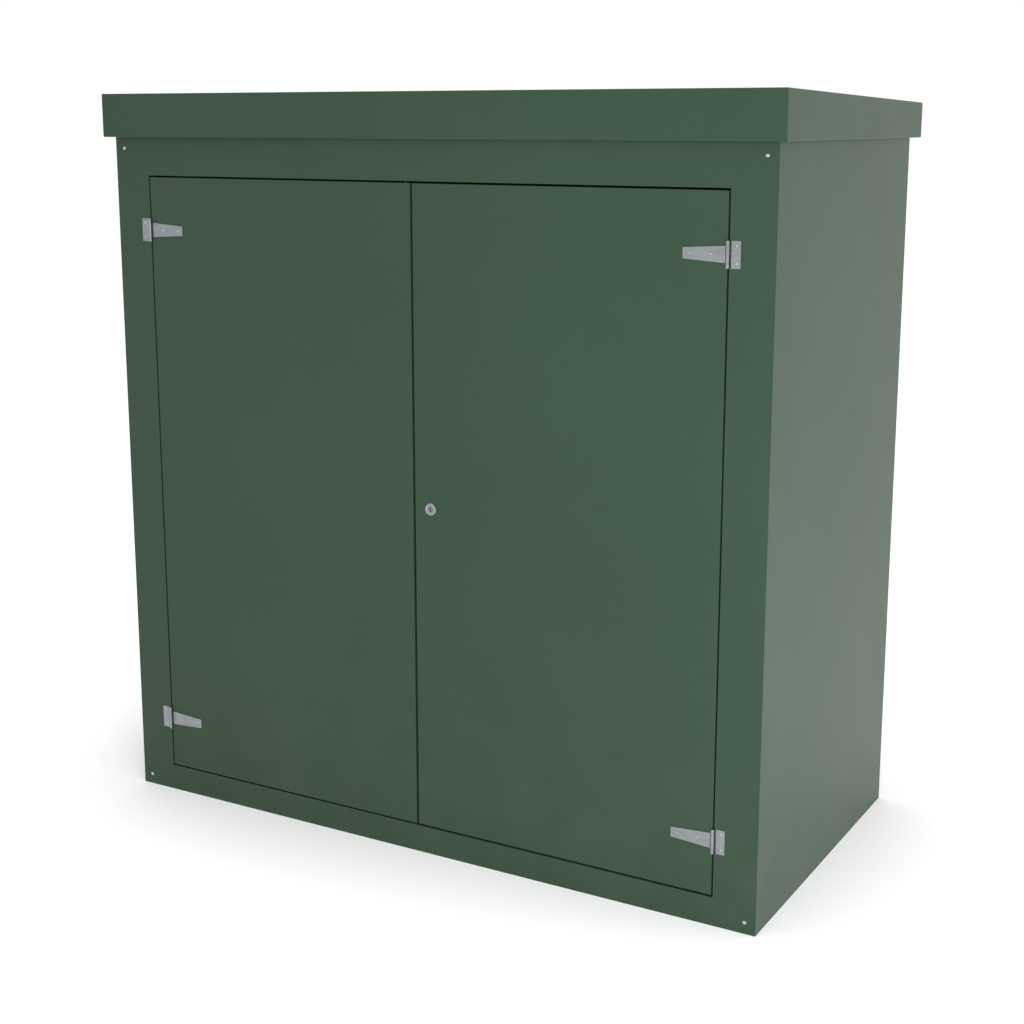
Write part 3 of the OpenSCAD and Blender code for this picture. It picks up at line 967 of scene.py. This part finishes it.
@dataclass
class Fastenings:
    """Domed screws of the hinges and the bolts in the frame's corners."""

    layout: Layout
    finishes: Finishes
    screw_radius: float = 3.4 * MM
    screw_dome: float = 1.8 * MM
    screw_shank: float = 2.0 * MM
    screw_length: float = 13 * MM
    screw_edge: float = 0.12 * MM
    cross_width: float = 0.9 * MM
    cross_length: float = 3.6 * MM
    cross_floor: float = 0.35
    leaf: float = 2 * MM
    plate_x: float = 20.5 * MM
    plate_z: float = 20.5 * MM
    strap_x: tuple[float, float] = (44 * MM, 98.5 * MM)
    bolt_radius: float = 5.5 * MM
    bolt_dome: float = 3.2 * MM
    bolt_shank: float = 3.0 * MM
    bolt_end: float = 2 * MM
    bolt_edge: float = 0.2 * MM
    socket: float = 2.0 * MM
    socket_floor: float = 0.3
    nut_across: float = 10 * MM
    nut_thick: float = 5 * MM
    nut_bevel: float = 0.5 * MM
    nut_face: float = 0.94
    nut_edge: float = 0.25 * MM
    tip_share: float = 0.7
    tip_slope: float = 0.5
    dome_rings: tuple[float, ...] = (0.2, 0.4, 0.6, 0.75, 0.88, 0.96)
    angle_thick: float = 4 * MM

    def build(self) -> None:
        """Make every screw and bolt and hand them over."""
        self._place_screws()
        self._place_bolts()

    def _dome(self, name: str, radius: float, height: float, shank: float, length: float) -> Piece:
        """A domed head on a shank, its seat at the origin and its head towards -Y.

        Args:
            name: Its name.
            radius: Radius of the head.
            height: Height of the head.
            shank: Radius of the shank.
            length: Length of the shank behind the seat.

        Returns:
            The piece.
        """
        ball = (radius * radius + height * height) / (2 * height)
        rings = [(shank * self.tip_share, length), (shank, length - shank * self.tip_slope), (shank, 0.0),
                 (radius, 0.0)]
        for share in self.dome_rings:
            rise = height * share
            rings.append((math.sqrt(ball * ball - (ball - height + rise) ** 2), -rise))
        return turned(name, (0, 0, 0), (0, 1, 0), rings, DOME_SIDES)

    def _screw(self) -> Piece:
        """One hinge screw with its cross recess.

        Returns:
            The screw, with its head's underside at the origin.
        """
        screw = self._dome("hinge_screw", self.screw_radius, self.screw_dome, self.screw_shank, self.screw_length)
        half, width, floor = self.cross_length / 2, self.cross_width / 2, -self.screw_dome * self.cross_floor
        upright = block("upright", (-width, -SMALL_OVERRUN, -half), (width, floor, half))
        level = block("level", (-half, -SMALL_OVERRUN, -width), (half, floor, width))
        worked(screw, Joining.CUT, upright, level)
        return round_edges(screw, self.screw_edge, 1)

    def _place_screws(self) -> None:
        """Copy the screw to the fixed leaves and to the straps."""
        master = self._screw()
        face = self.layout.front_y - self.leaf
        plates = []
        for side in Side:
            straps = []
            x = hinge_pivot(side).x
            for z in hinge_heights():
                for end in (End.BOTTOM, End.TOP):
                    plates.append(copied(master, (x + side.value * self.plate_x, face, z + end.value * self.plate_z)))
                for reach in self.strap_x:
                    straps.append(copied(master, (x - side.value * reach, face, z)))
            screws = joined(f"{side.word}_strap_fixings", straps)
            dress(screws, self.finishes.zinc)
            hand_over(screws, f"{side.word}_door", Slot.FASTENER, f"{side.word}_strap_screws")
        screws = joined("hinge_plate_fixings", plates)
        dress(screws, self.finishes.zinc)
        hand_over(screws, "carcass", Slot.FASTENER, "hinge_plate_screws")
        bpy.data.objects.remove(master)

    def _bolt(self) -> Piece:
        """One corner bolt with a six-sided socket and its nut.

        Returns:
            The bolt and nut, with the head's underside at the origin.
        """
        nut_y = self.layout.wall + self.angle_thick
        bolt = self._dome("corner_bolt", self.bolt_radius, self.bolt_dome, self.bolt_shank,
                          nut_y + self.nut_thick + self.bolt_end)
        socket = turned("socket", (0, 0, 0), (0, 1, 0),
                        ((self.socket, -SMALL_OVERRUN), (self.socket, -self.socket_floor * self.bolt_dome)), HEXAGON)
        worked(bolt, Joining.CUT, socket)
        round_edges(bolt, self.bolt_edge, 1)
        corner = self.nut_corner
        nut = turned("nut", (0, nut_y, 0), (0, 1, 0),
                     ((corner * self.nut_face, 0.0), (corner, self.nut_bevel),
                      (corner, self.nut_thick - self.nut_bevel), (corner * self.nut_face, self.nut_thick)), HEXAGON)
        with editing(nut):
            bpy.ops.mesh.select_all(action="SELECT")
            bpy.ops.transform.rotate(value=math.radians(30), orient_axis="Y", center_override=(0, 0, 0))
        round_edges(nut, self.nut_edge, 1)
        return joined("corner_bolt", [bolt, nut])

    def _place_bolts(self) -> None:
        """Copy the bolt to the four corners of the front frame."""
        master = self._bolt()
        low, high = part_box("corner_bolts")
        copies = []
        for x in (low.x + self.bolt_radius, high.x - self.bolt_radius):
            for z in (low.z + self.nut_corner, high.z - self.nut_corner):
                copies.append(copied(master, (x, self.layout.front_y, z)))
        bolts = joined("corner_fixings", copies)
        dress(bolts, self.finishes.zinc)
        hand_over(bolts, "carcass", Slot.FASTENER, "corner_bolts")
        bpy.data.objects.remove(master)

    @property
    def nut_corner(self) -> float:
        """Distance from a nut's middle to its upper corner."""
        return self.nut_across / 2 / math.cos(math.radians(30))


def hinge_pivot(side: Side) -> Vector:
    """Place of a door's hinge line, from the frame's joints."""
    return next(Vector(j["pos_m"]) for j in frame["record"]["behaviour"]["joints"]
                if j["name"] == f"{side.word}_door_hinge")


def hinge_heights() -> list[float]:
    """Heights of the hinges' middles."""
    return [(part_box(f"right_strap_{level}")[0].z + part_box(f"right_strap_{level}")[1].z) / 2
            for level in ("upper", "lower")]


@dataclass
class Hinges:
    """Tee hinges: fixed leaves, straps and pins with peened ends."""

    finishes: Finishes
    edge_radius: float = 0.25 * MM
    pin_radius: float = 2.2 * MM
    pin_edge: float = 0.15 * MM
    peen: float = 0.5 * MM
    peen_share: float = 0.6
    crook_start: float = 3.2 * MM
    crook_end: float = 7.6 * MM

    def build(self) -> None:
        """Make the hinges and hand them over."""
        for side in Side:
            plates = softened(f"{side.word}_hinge_plates", f"{side.word}_fixed_leaves", self.edge_radius)
            self._dress_leaf(plates, side)
            hand_over(plates, "carcass", Slot.HINGE, f"{side.word}_hinge_plates")
            for level in ("upper", "lower"):
                strap = softened(f"{side.word}_strap_{level}", f"{side.word}_tee_strap_{level}", self.edge_radius)
                self._dress_leaf(strap, side)
                hand_over(strap, f"{side.word}_door", Slot.HINGE, f"{side.word}_strap_{level}")
        self._pins()

    def _dress_leaf(self, leaf: Piece, side: Side) -> None:
        """Give a leaf its steel, with painted shade on the web in the crook beside the knuckle.

        Args:
            leaf: The fixed leaves of a door or one strap.
            side: The door's side.
        """
        pivot = hinge_pivot(side)

        def in_crook(centre: Vector, normal: Vector) -> bool:
            """Whether a face is the front of the web between knuckle and leaf."""
            out, deep = abs(centre.x - pivot.x), centre.y - pivot.y
            return self.crook_start < out < self.crook_end and deep > 0 and normal.y < -0.5

        dress(leaf, self.finishes.hinge, self.finishes.grease)
        # The web faces in the crook get the near-black painted shade.
        dress_part(leaf, 1, in_crook)

    def _pins(self) -> None:
        """Make the four pins, whose ends are peened over."""
        low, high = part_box("right_hinge_plates")
        heights = hinge_heights()
        length = 2 * (high.z - max(heights))
        r = self.pin_radius
        pins = []
        for side in Side:
            pivot = hinge_pivot(side)
            for z in heights:
                profile = ((r * self.peen_share, -self.peen), (r, 0.0), (r, length),
                           (r * self.peen_share, length + self.peen))
                pins.append(turned("pin", (pivot.x, pivot.y, z - length / 2), (0, 0, 1), profile))
        pins = joined("hinge_pins_peened", pins)
        round_edges(pins, self.pin_edge, 1)
        dress(pins, self.finishes.hinge)
        hand_over(pins, "carcass", Slot.HINGE, "hinge_pins")


@dataclass
class Lock:
    """Keyed cam lock: rose and barrel, plug with its keyway, nut, cam and the cam's nut."""

    finishes: Finishes
    edge_radius: float = 0.3 * MM

    @staticmethod
    def axis_point() -> Vector:
        """A point on the lock's axis."""
        low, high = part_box("lock_barrel")
        return (low + high) / 2

    def build(self) -> None:
        """Make the lock's parts and hand them over."""
        self._part("lock_barrel", "lock_rose", "right_door", Slot.LOCK, self.finishes.lock)
        self._part("lock_nut", "lock_back_nut", "right_door", Slot.FASTENER, self.finishes.zinc)
        self._part("lock_plug", "lock_cylinder_plug", "lock", Slot.LOCK, self.finishes.plug)
        self._part("lock_cam", "lock_turning_cam", "lock", Slot.FASTENER, self.finishes.zinc)
        self._part("cam_nut", "lock_cam_nut", "lock", Slot.FASTENER, self.finishes.zinc)

    def _part(self, node: str, name: str, body: str, slot: Slot, material: bpy.types.Material) -> None:
        """Finish one part of the lock.

        Args:
            node: The frame node that it stands for.
            name: Its own name.
            body: The body that it rides on.
            slot: Its material slot.
            material: Its finish.
        """
        part = softened(node, name, self.edge_radius)
        dress(part, material)
        hand_over(part, body, slot, node)


@dataclass
class FlushBolts:
    """The left door's two flush bolts and the slotted plates behind their knobs."""

    finishes: Finishes
    edge_radius: float = 0.7 * MM
    plate_edge: float = 0.3 * MM

    def build(self) -> None:
        """Make the bolts and plates and hand them over."""
        for end in End:
            word = end.name.lower()
            bolt = softened(f"{word}_flush_bolt", f"{word}_bolt_rod", self.edge_radius)
            dress(bolt, self.finishes.bolt_steel)
            hand_over(bolt, f"{word}_bolt", Slot.FASTENER, f"{word}_flush_bolt")
        plates = softened("slot_plates", "bolt_slot_plates", self.plate_edge)
        dress(plates, self.finishes.zinc)
        hand_over(plates, "left_door", Slot.FASTENER, "slot_plates")


@dataclass
class InnerTrim:
    """The aluminium angles inside the walls and the rubber seal on the stop."""

    finishes: Finishes
    angle_edge: float = 0.8 * MM
    seal_edge: float = 2.4 * MM

    def build(self) -> None:
        """Make the angles and the seal and hand them over."""
        for node in self._angle_nodes():
            bar = softened(node, f"{node}_bar", self.angle_edge)
            dress(bar, self.finishes.alloy)
            hand_over(bar, "carcass", Slot.ANGLE, node)
        seal = softened("door_seal", "door_seal_bulb", self.seal_edge, 4)
        dress(seal, self.finishes.seal)
        hand_over(seal, "carcass", Slot.SEAL, "door_seal")

    def _angle_nodes(self) -> list[str]:
        """Names of the frame's twelve angles.

        Returns:
            The node names.
        """
        corners = [f"corner_angle_{face}_{side.word}" for face in ("front", "back") for side in Side]
        rails = [f"{level}_angle_{face}" for level in ("base", "top") for face in ("front", "back", "left", "right")]
        return corners + rails


@dataclass
class Studio:
    """Camera, floor and soft light."""

    camera_place: Point = (2.3701, -4.1225, 2.0011)
    azimuth: float = 29.862
    elevation: float = 11.465
    lens: float = 58.39
    sensor: float = 36.0
    far_clip: float = 500.0
    shift: Point = (0.00346, -0.05515)
    floor_half: float = 60.0
    world_glow: float = 1.02

    def build(self) -> None:
        """Set the studio up."""
        self._camera()
        self._floor()
        self._world()
        self._panel("right_front_panel", (2.4, -3.4, 1.6), (0.9, -0.5, 1.1), (1.6, 2.4), 104, glare=False)
        self._panel("low_front_panel", (0.8, -5.5, 0.9), (0.3, -0.5, 1), (5.0, 1.6), 15)
        self._panel("low_right_panel", (4.6, 0.1, 0.4), (1, 0, 0.2), (3.4, 0.7), 75)
        self._panel("overhead_panel", (0, 0, 6.5), (0, 0, 0), (2.4, 2.4), 90)

    def _camera(self) -> None:
        """The camera, at the object's viewing angle."""
        select_only()
        azimuth, elevation = math.radians(self.azimuth), math.radians(self.elevation)
        back = Vector((math.sin(azimuth) * math.cos(elevation), -math.cos(azimuth) * math.cos(elevation),
                       math.sin(elevation)))
        bpy.ops.object.camera_add(location=self.camera_place, rotation=(-back).to_track_quat("-Z", "Y").to_euler())
        camera = bpy.context.object
        camera.name = "camera"
        camera.data.sensor_width = self.sensor
        camera.data.lens = self.lens
        camera.data.shift_x, camera.data.shift_y = self.shift
        camera.data.clip_end = self.far_clip
        bpy.context.scene.camera = camera

    def _floor(self) -> None:
        """A plain pale floor."""
        select_only()
        bpy.ops.mesh.primitive_plane_add(size=2 * self.floor_half, location=(0, 0, 0))
        floor = settled("floor")
        dress(floor, StudioFloor().material())

    def _world(self) -> None:
        """An even white surround."""
        world = bpy.data.worlds.new("surround")
        world.use_nodes = True
        background = world.node_tree.nodes["Background"]
        background.inputs["Color"].default_value = rgba((1.0, 1.0, 1.0))
        background.inputs["Strength"].default_value = self.world_glow
        bpy.context.scene.world = world

    def _panel(self, name: str, place: Point, aim: Point, size: Point, power: float, glare: bool = True) -> None:
        """A soft light panel.

        Args:
            name: Its name.
            place: Where its middle is.
            aim: The point that it faces.
            size: Its width and height.
            power: Its power in watts.
            glare: Whether shiny surfaces mirror it.
        """
        select_only()
        facing = (Vector(aim) - Vector(place)).to_track_quat("-Z", "Y").to_euler()
        bpy.ops.object.light_add(type="AREA", location=place, rotation=facing)
        panel = bpy.context.object
        panel.name = name
        panel.visible_camera = False
        panel.visible_glossy = glare
        panel.data.shape = "RECTANGLE"
        panel.data.size, panel.data.size_y = size
        panel.data.energy = power


def main() -> None:
    """Build the enclosure and its studio."""
    logging.basicConfig(level=logging.INFO, format="%(name)s: %(message)s")
    bpy.context.scene.view_settings.view_transform = "Standard"
    finishes = Finishes()
    layout = Layout()
    Studio().build()
    Shell(layout, finishes).build()
    RoofCap(layout, finishes).build()
    InnerTrim(finishes).build()
    for side in Side:
        Door(side, layout, finishes).build()
    Hinges(finishes).build()
    Fastenings(layout, finishes).build()
    Lock(finishes).build()
    FlushBolts(finishes).build()


if __name__ == "__main__":
    main()
